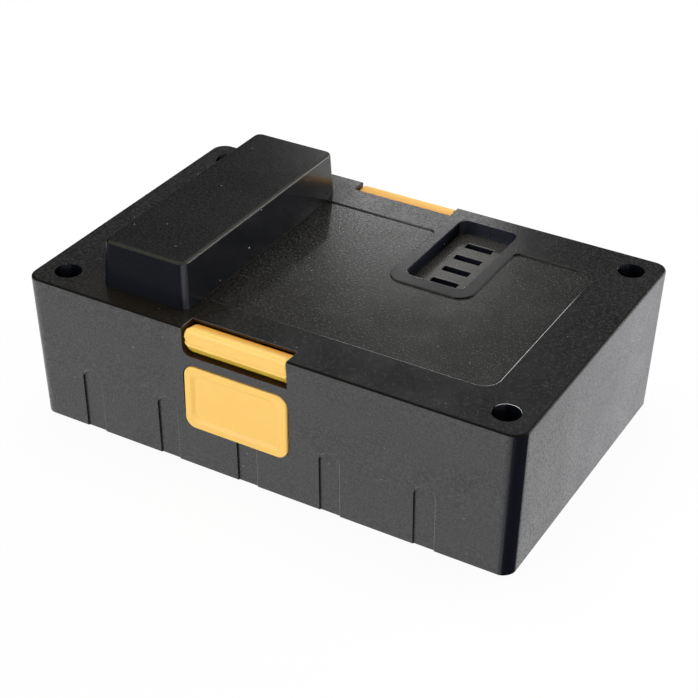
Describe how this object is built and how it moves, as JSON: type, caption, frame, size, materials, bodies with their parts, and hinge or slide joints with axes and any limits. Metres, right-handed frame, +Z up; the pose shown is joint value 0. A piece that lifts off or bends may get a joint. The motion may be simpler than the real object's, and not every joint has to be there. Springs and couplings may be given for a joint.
{
  "type": "power tool battery pack",
  "caption": "Battery pack for a cordless tool: drafted case, cover with a docking boss and a recessed contact well, sprung side latches to press, cells and board inside.",
  "frame": {"origin": "middle of the foot of the case, on the surface that it stands on", "axes": "+X along the case, away from the docking boss; +Y towards the rear long side, where the contact well lies; +Z up, through the boss"},
  "size_m": [0.16, 0.1034, 0.0619],
  "materials": {
    "case_plastic": "black glass-filled polyamide with a fine spark texture",
    "latch_plastic": "warm yellow acetal with a fine satin texture",
    "screw_steel": "zinc-plated steel",
    "spring_steel": "bright drawn spring wire",
    "holder_plastic": "dark grey flame-retardant plastic",
    "cell_sleeve": "blue shrink sleeve over a steel can",
    "nickel_strip": "rolled nickel strip",
    "insulating_paper": "tan fibre paper",
    "foam": "closed-cell foam",
    "circuit_board": "glass-fibre board with green solder resist",
    "block_plastic": "black moulded contact block",
    "contact_brass": "sprung brass with a bright face",
    "chip_resin": "black moulding resin",
    "shunt_metal": "bare resistance alloy",
    "capacitor_can": "drawn aluminium can",
    "header_plastic": "natural polyamide",
    "red_insulation": "red wire insulation",
    "white_insulation": "white wire insulation",
    "thermistor_resin": "black dipped resin"
  },
  "bodies": {
    "pack": {"lower_housing": "case_plastic", "top_cover": "case_plastic", "case_screws": "screw_steel", "front_latch_springs": "spring_steel", "rear_latch_springs": "spring_steel", "front_cell_holder": "holder_plastic", "rear_cell_holder": "holder_plastic", "lower_cell_1": "cell_sleeve", "lower_cell_2": "cell_sleeve", "lower_cell_3": "cell_sleeve", "lower_cell_4": "cell_sleeve", "lower_cell_5": "cell_sleeve", "lower_cell_6": "cell_sleeve", "lower_cell_7": "cell_sleeve", "upper_cell_1": "cell_sleeve", "upper_cell_2": "cell_sleeve", "upper_cell_3": "cell_sleeve", "positive_strip": "nickel_strip", "front_strip_2": "nickel_strip", "front_strip_3": "nickel_strip", "rear_strip_1": "nickel_strip", "rear_strip_2": "nickel_strip", "negative_strip": "nickel_strip", "front_insulator": "insulating_paper", "rear_insulator": "insulating_paper", "foam_pads": "foam", "protection_board": "circuit_board", "board_screws": "screw_steel", "contact_block": "block_plastic", "contact_clip_1": "contact_brass", "contact_clip_2": "contact_brass", "contact_clip_3": "contact_brass", "contact_clip_4": "contact_brass", "power_transistors": "chip_resin", "controller_chip": "chip_resin", "shunt_resistor": "shunt_metal", "capacitors": "capacitor_can", "sense_header": "header_plastic", "positive_lead": "red_insulation", "sense_wires": "white_insulation", "thermistor": "thermistor_resin"},
    "front_latch": {"front_latch": "latch_plastic"},
    "rear_latch": {"rear_latch": "latch_plastic"}
  },
  "joints": [
    {"name": "front_latch_press", "type": "slide", "parent": "pack", "child": "front_latch", "axis": [0, 1, 0], "range_m": [0, 0.002], "stiffness_N_per_m": 800, "springref_m": -0.002, "deforming": ["front_latch_springs"]},
    {"name": "rear_latch_press", "type": "slide", "parent": "pack", "child": "rear_latch", "axis": [0, -1, 0], "range_m": [0, 0.002], "stiffness_N_per_m": 800, "springref_m": -0.002, "deforming": ["rear_latch_springs"]}
  ]
}
